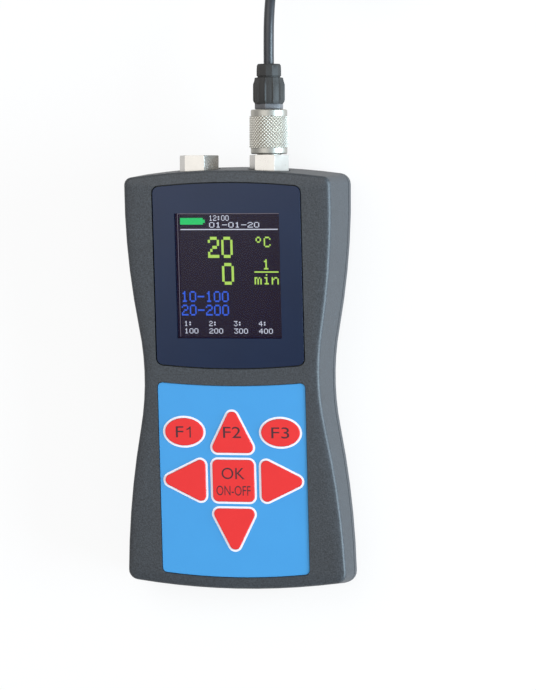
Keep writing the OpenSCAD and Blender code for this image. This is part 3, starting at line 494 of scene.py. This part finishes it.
# The legends
# Printed on the keys in dark red-brown ink: generic function numbers, and OK with ON and OFF.
# The keys for left, right and down carry nothing but their shape.
dark_ink = Finish("dark_ink", (62, 20, 32), {"Roughness": 0.5})
dark_ink.vary(dark_ink.noise(0.6 * mm), (56, 16, 28), (74, 26, 38))
key_top, letter_gap = 0.05 * mm, 0.012 * mm


def printed(words, name, x, v, width, height, body):
    """Flat letters, made a mesh, fitted to their measured size, and laid on a key."""
    if words == "1":
        # The figure one has a flag on its left, which the plain letters lack.
        one = [(0.3, 0), (0.42, 0), (0.42, 1), (0.34, 1),
               (0.22, 0.87), (0.05, 0.78), (0.05, 0.65), (0.3, 0.77)]
        bpy.ops.mesh.primitive_circle_add(vertices=len(one), fill_type="NGON")
        for vertex, point in zip(bpy.context.object.data.vertices, one):
            vertex.co = (*point, 0)
    else:
        bpy.ops.object.text_add()
        bpy.context.object.data.body = words
        bpy.context.object.data.resolution_u = 5
        bpy.ops.object.convert(target="MESH")
    letters = bpy.context.object
    points = [vertex.co for vertex in letters.data.vertices]
    low = Vector((min(p.x for p in points), min(p.y for p in points), 0))
    high = Vector((max(p.x for p in points), max(p.y for p in points), 0))
    fit = Matrix.Diagonal((width / (high.x - low.x), height / (high.y - low.y), 1, 1))
    middle = Matrix.Translation(-(low + high) / 2)
    spot = Matrix.Translation((x, v, key_top + letter_gap))
    settle(letters, name, dark_ink, body, face @ spot @ fit @ middle)


printed("F", "legend_f", -pitch_x - 1.35 * mm, ok_v + pitch_v, 2.3 * mm, 3.3 * mm, "key_f1_body")
printed("1", "legend_1", -pitch_x + 1.45 * mm, ok_v + pitch_v, 1.25 * mm, 3.3 * mm, "key_f1_body")
printed("F2", "legend_f2", 0, ok_v + pitch_v, 5.4 * mm, 3.3 * mm, "key_up_body")
printed("F3", "legend_f3", pitch_x, ok_v + pitch_v, 5.4 * mm, 3.3 * mm, "key_f3_body")
printed("OK", "legend_ok", 0, ok_v + 2.2 * mm, 7.0 * mm, 3.4 * mm, "key_ok_body")
printed("ON-OFF", "legend_on_off", 0, ok_v - 2.9 * mm, 10.4 * mm, 2.9 * mm, "key_ok_body")

# The sockets
# Nickel-plated brass bodies with a hexagon outside, lock nuts inside, and gilt pins in black
# contact blocks.
nickel = plated("nickel", (201, 197, 191), 0.26, 0.1)
softened("service_socket", "left_socket", nickel, 0.06 * mm)
softened("sensor_socket", "right_socket", nickel, 0.06 * mm)
dress(nickel, "socket_nuts")
insulator = moulded("insulator", (32, 34, 38), grain=0.4 * mm, rough=0.45)
dress(insulator, "service_block", "sensor_block")
gilt = plated("gilt_pins", (222, 180, 92), 0.2)
dress(gilt, "contact_pins", "plug_pins")

# The plug's coupling ring
# Turned brass, nickel-plated: two plain bands with a diamond knurl between them, and a short
# screw thread that holds it in the socket. It turns freely on the plug's core.
socket_x, mouth_y, socket_z = 10.65 * mm, 64.164 * mm, 16.5 * mm
far_x, far_y, far_z, plug_long = 33.3 * mm, 171 * mm, 5.85 * mm, 26.59 * mm
near_axis = Matrix.Translation((socket_x, mouth_y, socket_z)) @ Matrix.Rotation(-math.pi / 2, 4, "X")
far_axis = (Matrix.Translation((far_x, far_y, far_z)) @ Matrix.Rotation(-math.pi / 2, 4, "Y")
            @ Matrix.Translation((0, 0, -plug_long)))


def turned(profile, steps):
    """A piece turned on a lathe: a closed outline of radius and length, spun about Z."""
    bpy.ops.mesh.primitive_circle_add(vertices=len(profile), fill_type="NOTHING")
    piece = bpy.context.object
    for vertex, (radius, length) in zip(piece.data.vertices, profile):
        vertex.co = (radius, 0, length)
    bpy.ops.object.mode_set(mode="EDIT")
    bpy.ops.mesh.select_all(action="SELECT")
    bpy.ops.mesh.spin(steps=steps, angle=math.tau, center=(0, 0, 0), axis=(0, 0, 1))
    bpy.ops.mesh.select_all(action="SELECT")
    bpy.ops.mesh.remove_doubles(threshold=0.002 * mm)
    bpy.ops.mesh.normals_make_consistent(inside=False)
    bpy.ops.object.mode_set(mode="OBJECT")
    return piece


band_r, knurl_r, core_r, thread_r = 5.35 * mm, 5.82 * mm, 2.55 * mm, 3.5 * mm
ring_from, knurl_from, knurl_to, ring_to = 0.3 * mm, 2.07 * mm, 11.27 * mm, 13.24 * mm
diamonds, rows, cut_deep = 34, 18, 0.36 * mm
thread_from, chamfer, step_out, step_in = -4.5 * mm, 0.25 * mm, 0.1 * mm, 0.02 * mm
hair = 0.01 * mm


def knurled_nickel(name, sideways, side_at, height_at, knurl_y):
    """Nickel, duller on the bands, with painted shade in the knurl's pits, which are found by their
    radius.
    """
    metal = Finish(name, (236, 232, 224), {"Metallic": 1.0})
    metal.relief(metal.noise(0.4 * mm), 0.004 * mm)
    places = metal.axes()
    side, height = places[sideways] - side_at, places[2] - height_at
    along = abs(places[1 - sideways] - knurl_y)
    out = (side * side + height * height).work("SQRT")
    in_knurl = along < (knurl_to - knurl_from) / 2
    # Painted shade: the knurl's pits are given a darker colour the deeper they lie.
    pit_shade = ((knurl_r - out) * (1 / cut_deep)).work("MINIMUM", 1) * in_knurl
    crest = metal.mixed(in_knurl, tint(178, 175, 167), tint(252, 249, 240))
    metal.feed("Base Color", metal.mixed(pit_shade * pit_shade * pit_shade, crest, tint(128, 120, 108)))
    metal.feed("Roughness", 0.46 + pit_shade * 0.1)
    return metal


def coupling_ring(name, knurled, body, place):
    """A turned ring; every second crossing of a fine net on its middle is pressed in."""
    knurl = [(knurl_r, knurl_from + (knurl_to - knurl_from) * row / rows) for row in range(rows + 1)]
    ring = turned([
        (core_r, thread_from), (thread_r - chamfer, thread_from), (thread_r, thread_from + chamfer),
        (thread_r, ring_from), (band_r - chamfer, ring_from), (band_r, ring_from + chamfer),
        (band_r, knurl_from - step_out), (knurl_r - cut_deep, knurl_from - step_in), *knurl,
        (knurl_r - cut_deep, knurl_to + step_in), (band_r, knurl_to + step_out),
        (band_r, ring_to - chamfer), (band_r - chamfer, ring_to), (core_r, ring_to)], 2 * diamonds)
    for vertex in ring.data.vertices:
        if vertex.co.xy.length > knurl_r - hair:
            row = round((vertex.co.z - knurl_from) / (knurl_to - knurl_from) * rows)
            column = round(math.atan2(vertex.co.y, vertex.co.x) / math.tau * 2 * diamonds)
            if (row + column) % 2:
                vertex.co.xy *= 1 - cut_deep / knurl_r
    bpy.ops.object.mode_set(mode="EDIT")
    bpy.ops.mesh.select_all(action="SELECT")
    bpy.ops.mesh.quads_convert_to_tris(quad_method="SHORTEST_DIAGONAL")
    bpy.ops.object.mode_set(mode="OBJECT")
    alone(ring)
    bpy.ops.object.shade_smooth_by_angle(angle=math.radians(8))
    return settle(ring, name, knurled, body, place)


knurl_mid = (knurl_from + knurl_to) / 2
near_nickel = knurled_nickel("near_nickel", 0, socket_x, socket_z, mouth_y + knurl_mid)
far_nickel = knurled_nickel("far_nickel", 1, far_y, far_z, far_x + plug_long - knurl_mid)
near_ring = coupling_ring("plug_ring", near_nickel, "coupling_ring_body", near_axis)
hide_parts("coupling_ring")
far_ring = coupling_ring("far_ring", far_nickel, "meter", far_axis)
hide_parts("end_plug_ring")

# The plug's body
# A grey moulded hexagon behind the ring, then a black clamp collar with wide flutes for the grip.
# It runs up into the sleeve that the cable leaves from. The black core carries the pins.
neck_grey = moulded("neck_plastic", (90, 90, 93), grain=0.5 * mm, depth=0.02 * mm, rough=0.35, speckle=0.4)
collar_black = moulded(
    "collar_plastic", (42, 41, 40), grain=0.5 * mm, depth=0.012 * mm, rough=0.62, speckle=0.4)
neck_from, collar_from, sleeve_from, sleeve_to = 13.34 * mm, 14.94 * mm, 22.69 * mm, plug_long
neck_r, neck_long, neck_edge = 4.35 * mm, 1.6 * mm, 0.18 * mm
collar_r, sleeve_r, flute_deep = 4.82 * mm, 3.72 * mm, 0.3 * mm
flutes, flute_steps, flats = 12, 12, 12
far_core_r, far_core_tip, far_core_from, far_core_to = 2.5 * mm, 2.3 * mm, -7.2 * mm, 13.3 * mm


def hexagon(name, place):
    """The neck: a low hexagon with its edges broken."""
    bpy.ops.mesh.primitive_cylinder_add(
        vertices=6, radius=neck_r, depth=neck_long, location=(0, 0, neck_from + neck_long / 2))
    neck = bpy.context.object
    alone(neck)
    bpy.ops.object.transform_apply(location=True, rotation=True, scale=True)
    bpy.ops.object.mode_set(mode="EDIT")
    bpy.ops.mesh.select_all(action="SELECT")
    bpy.ops.mesh.bevel(offset=neck_edge, segments=2, affect="EDGES")
    bpy.ops.object.mode_set(mode="OBJECT")
    bpy.ops.object.shade_smooth_by_angle(angle=smooth_below)
    return settle(neck, name, neck_grey, "meter", place)


def collar(name, place):
    """The clamp: a turned blank with wide flutes cut along its body and flats along its sleeve."""
    profile = [
        (0, collar_from), (collar_r - 0.7 * mm, collar_from),
        (collar_r - 0.15 * mm, collar_from + 0.6 * mm), (collar_r, collar_from + 1.2 * mm),
        (collar_r, collar_from + 3.4 * mm), (collar_r, sleeve_from - 2.1 * mm),
        (collar_r - 0.2 * mm, sleeve_from - 1.6 * mm), (sleeve_r + 0.45 * mm, sleeve_from - 0.15 * mm),
        (sleeve_r - 0.4 * mm, sleeve_from), (sleeve_r - 0.4 * mm, sleeve_from + 0.3 * mm),
        (sleeve_r, sleeve_from + 0.4 * mm), (sleeve_r, sleeve_from + 2 * mm),
        (sleeve_r - 0.08 * mm, sleeve_to - 0.5 * mm), (sleeve_r - 0.5 * mm, sleeve_to), (0, sleeve_to)]
    piece = turned(profile, flute_steps * flutes)
    for vertex in piece.data.vertices:
        radius = vertex.co.xy.length
        if radius > collar_r - 0.3 * mm and vertex.co.z < sleeve_from - 1 * mm:
            turn = math.atan2(vertex.co.y, vertex.co.x) / math.tau
            step = round(turn * flute_steps * flutes) % flute_steps
            across = min(step, flute_steps - step)
            vertex.co.xy *= 1 - min(across / 2, 1) * flute_deep / radius
        elif vertex.co.z > sleeve_from + 0.35 * mm and radius > sleeve_r - 0.2 * mm:
            into_flat = math.atan2(vertex.co.y, vertex.co.x) % (math.tau / flats) - math.pi / flats
            vertex.co.xy *= math.cos(math.pi / flats) / math.cos(into_flat)
    alone(piece)
    bpy.ops.object.shade_smooth_by_angle(angle=math.radians(30))
    return settle(piece, name, collar_black, "meter", place)


near_neck, near_collar = hexagon("neck", near_axis), collar("cable_clamp", near_axis)
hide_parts("plug_neck")
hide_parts("clamp_collar")
dress(insulator, "plug_core")
far_neck, far_collar = hexagon("far_neck", far_axis), collar("far_clamp", far_axis)
far_core = turned([
    (0, far_core_from), (far_core_tip, far_core_from),
    (far_core_r, far_core_from + far_core_r - far_core_tip), (far_core_r, far_core_to),
    (0, far_core_to)], 40)
alone(far_core)
bpy.ops.object.shade_smooth_by_angle(angle=smooth_below)
settle(far_core, "far_core", insulator, "meter", far_axis)
for piece in (far_neck, far_collar, far_core):
    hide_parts("end_plug_body")

# The cable
# Thin round screened cable in a black jacket with a soft shine. It leaves the clamp, comes down
# to the surface, and its spare length is wound in a tied coil beyond the photograph's edge.
jacket_black = Finish("cable_jacket", (40, 41, 45))
scuff = jacket_black.noise(2.5 * mm, 4)
jacket_black.vary(scuff, (33, 34, 38), (48, 49, 54))
jacket_black.feed("Roughness", 0.28 + scuff * 0.16)
jacket_black.relief(jacket_black.noise(1.2 * mm), 0.02 * mm)
cable_d = 3.1 * mm
# The route's points are in millimetres, as in the part's own source.
out_of_clamp = [
    (10.65, 90.76, 16.5), (10.65, 97, 16.5), (10.65, 104, 16), (10.65, 111, 14), (10.65, 118, 10.4),
    (10.65, 125, 6.4), (10.65, 130, 4), (10.65, 133, 2.9), (10.65, 135.9, 2.65)]
to_far_plug = [
    (10.65, 142.1, 14.65), (10.65, 145.2, 14.55), (10.65, 150, 14.3), (11.5, 157.5, 13),
    (14.7, 164.4, 10.9), (20.3, 169.2, 8.5), (25.9, 170.9, 6.6), (30.1, 171, 5.85), (33.3, 171, 5.85)]
coil_x, coil_y, coil_z, outer_r = 34.15, 139, 2.65, 23.5
turns_a_layer, climb, layers, turn_pitch, layer_pitch, points_a_turn = 2.625, 0.5, 4, 4.2, 4.0, 24


def coil_point(turn):
    """Where the cable lies after so many turns: each layer spirals in or out, then climbs."""
    layer = min(int(turn / (turns_a_layer + climb)), layers - 1)
    into = turn - layer * (turns_a_layer + climb)
    gone = min(into, turns_a_layer) * turn_pitch
    radius = outer_r - gone if layer % 2 == 0 else outer_r - turns_a_layer * turn_pitch + gone
    climbed = max(into - turns_a_layer, 0) / climb
    height = coil_z + (layer + (1 - math.cos(math.pi * climbed)) / 2) * layer_pitch
    turn *= math.tau
    return (coil_x - radius * math.cos(turn), coil_y + radius * math.sin(turn), height)


coil_turns = layers * turns_a_layer + (layers - 1) * climb
coil = [coil_point(step / points_a_turn) for step in range(round(coil_turns * points_a_turn) + 1)]
path = [Vector(point) * mm for point in (*out_of_clamp, *coil, *to_far_plug)]
curve = bpy.data.curves.new("sensor_cable", "CURVE")
curve.dimensions, curve.bevel_depth, curve.bevel_resolution, curve.resolution_u = "3D", cable_d / 2, 5, 3
curve.use_fill_caps = True
spline = curve.splines.new("BEZIER")
spline.bezier_points.add(len(path) - 1)
for knot, point in zip(spline.bezier_points, path):
    knot.co = point
    knot.handle_left_type = knot.handle_right_type = "AUTO"
cable = bpy.data.objects.new("sensor_cable", curve)
bpy.context.scene.collection.objects.link(cable)
curve.materials.append(jacket_black.material)
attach(cable, "meter")
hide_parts("cable", "cable_coil", "cable_tail")
dress(moulded("tie_nylon", (28, 29, 31), grain=0.5 * mm, rough=0.4), "cable_tie")

# The studio
# A pale floor under the meter, one large soft lamp over its head end, a cool one low on its
# right, and the camera where the photographer stood.

# Looked at directly or in a reflection the paper is nearly white, and the shadow on it is faint.
paper_pale, white_share = (247, 247, 247), 0.85
paper = Finish("paper", paper_pale)
seen = paper.node("ShaderNodeLightPath", out="Is Camera Ray")
for ray in ("Is Glossy Ray", "Is Transmission Ray"):
    seen = seen.work("MAXIMUM", paper.node("ShaderNodeLightPath", out=ray))
matte = paper.node("ShaderNodeBsdfDiffuse", {}, {"Color": tint(*paper_pale)})
white = paper.node("ShaderNodeEmission")
both = paper.node("ShaderNodeMixShader", {}, {0: seen * white_share, 1: matte, 2: white})
paper.tree.links.new(both.socket, paper.tree.nodes["Material Output"].inputs["Surface"])
bpy.ops.mesh.primitive_plane_add(size=4, location=(0, 0, -0.1 * mm))
floor = bpy.context.object
alone(floor)
bpy.ops.object.transform_apply(location=True, rotation=True, scale=True)
floor.name = "floor"
floor.data.materials.append(paper.material)

world = bpy.data.worlds.new("studio")
bpy.context.scene.world = world
world.use_nodes = True
sky = world.node_tree.nodes["Background"]
sky.inputs["Color"].default_value = (0.96, 0.98, 1.0, 1)
sky.inputs["Strength"].default_value = 0.5


def softbox(name, place, size, power, colour):
    """A square lamp aimed at the meter."""
    lamp = bpy.data.lights.new(name, "AREA")
    lamp.size, lamp.energy, lamp.color = size, power, colour
    hung = bpy.data.objects.new(name, lamp)
    hung.location = place
    hung.rotation_euler = (-Vector(place)).to_track_quat("-Z", "Y").to_euler()
    bpy.context.scene.collection.objects.link(hung)


softbox("key_lamp", (-0.3, 0.47, 1.05), 1.2, 7.4, (1.0, 0.995, 0.98))
softbox("side_lamp", (1.0, -0.1, 0.16), 0.7, 30.0, (0.66, 0.86, 1.0))

# The camera's place, axes and lens were fitted to the housing's outline in the photograph.
view = bpy.data.cameras.new("camera")
view.lens, view.sensor_width, view.clip_start, view.clip_end = 204.3, 36, 0.01, 20
camera = bpy.data.objects.new("camera", view)
eye = Vector((0.302425, 0.047799, 1.127172))
right, above = (0.96709, -0.00382, -0.25441), (-0.00502, 0.99941, -0.03409)
back = (0.25439, 0.03424, 0.96649)
camera.matrix_world = Matrix.Translation(eye) @ Matrix((right, above, back)).transposed().to_4x4()
bpy.context.scene.collection.objects.link(camera)
bpy.context.scene.camera = camera
bpy.context.scene.view_settings.view_transform = "Standard"
